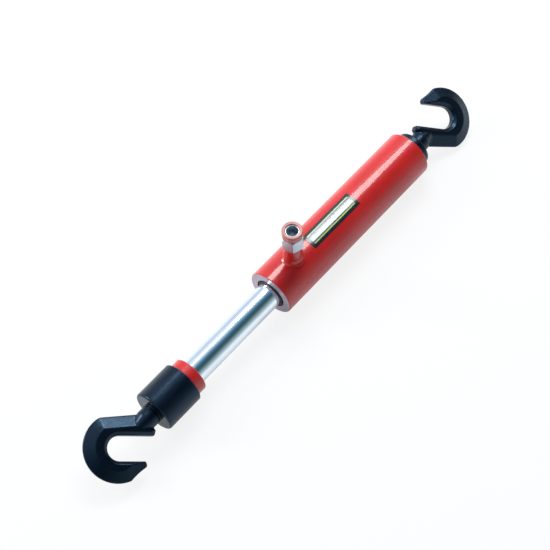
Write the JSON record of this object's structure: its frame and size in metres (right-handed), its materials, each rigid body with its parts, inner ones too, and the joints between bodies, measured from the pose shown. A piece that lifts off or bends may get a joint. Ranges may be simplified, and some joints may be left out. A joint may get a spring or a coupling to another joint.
{
  "type": "hydraulic pull cylinder",
  "caption": "Single-acting hydraulic pull ram with spring return, an oil port near the rod end and a forged swivel hook at each end.",
  "frame": {"origin": "load centre of the rear hook's throat, on the ram axis", "axes": "+X along the ram axis from the rear hook to the rod-end hook; +Z out of the oil port; rod fully out at rest"},
  "size_m": [0.6648, 0.0711, 0.1162],
  "materials": {
    "red_enamel": "glossy sprayed enamel",
    "black_enamel": "glossy black enamel over forged or turned steel",
    "hard_chrome": "ground and polished hard chrome",
    "zinc_plate": "turned steel with zinc plating",
    "copper_red": "copper-red coat, semi-gloss",
    "label_face": "printed film under clear laminate",
    "bronze": "machined bronze",
    "seal_rubber": "black nitrile",
    "wear_plastic": "moulded acetal",
    "machined_steel": "machined, lightly oiled",
    "spring_steel": "drawn wire, oiled"
  },
  "bodies": {
    "barrel": {"barrel_tube": "red_enamel", "gland_head": "red_enamel", "gland_o_ring": "seal_rubber", "rod_wiper": "seal_rubber", "rod_seal": "seal_rubber", "rod_bush": "bronze", "port_boss": "red_enamel", "port_nipple": "zinc_plate", "port_collar": "copper_red", "label_plate": "label_face", "rear_cap": "black_enamel", "return_spring": "spring_steel"},
    "rod": {"piston_rod": "hard_chrome", "piston": "machined_steel", "piston_seal": "seal_rubber", "piston_wear_ring": "wear_plastic", "piston_nut": "machined_steel", "lock_collar": "red_enamel", "swivel_sleeve": "black_enamel"},
    "front_swivel": {"front_hook": "black_enamel", "front_hook_nut": "machined_steel", "front_thrust_washer": "bronze", "front_nut_pin": "spring_steel"},
    "rear_swivel": {"rear_hook": "black_enamel", "rear_hook_nut": "machined_steel", "rear_thrust_washer": "bronze", "rear_nut_pin": "spring_steel"}
  },
  "joints": [
    {"name": "rod_slide", "type": "slide", "parent": "barrel", "child": "rod", "axis": [1, 0, 0], "range_m": [-0.13, 0], "stiffness_N_per_m": 1730, "springref_m": 0.044, "deforming": ["return_spring"]},
    {"name": "front_hook_swivel", "type": "hinge", "parent": "rod", "child": "front_swivel", "pos_m": [0.582, 0, 0], "axis": [1, 0, 0], "continuous": true},
    {"name": "rear_hook_swivel", "type": "hinge", "parent": "barrel", "child": "rear_swivel", "pos_m": [0, 0, 0], "axis": [1, 0, 0], "continuous": true}
  ]
}
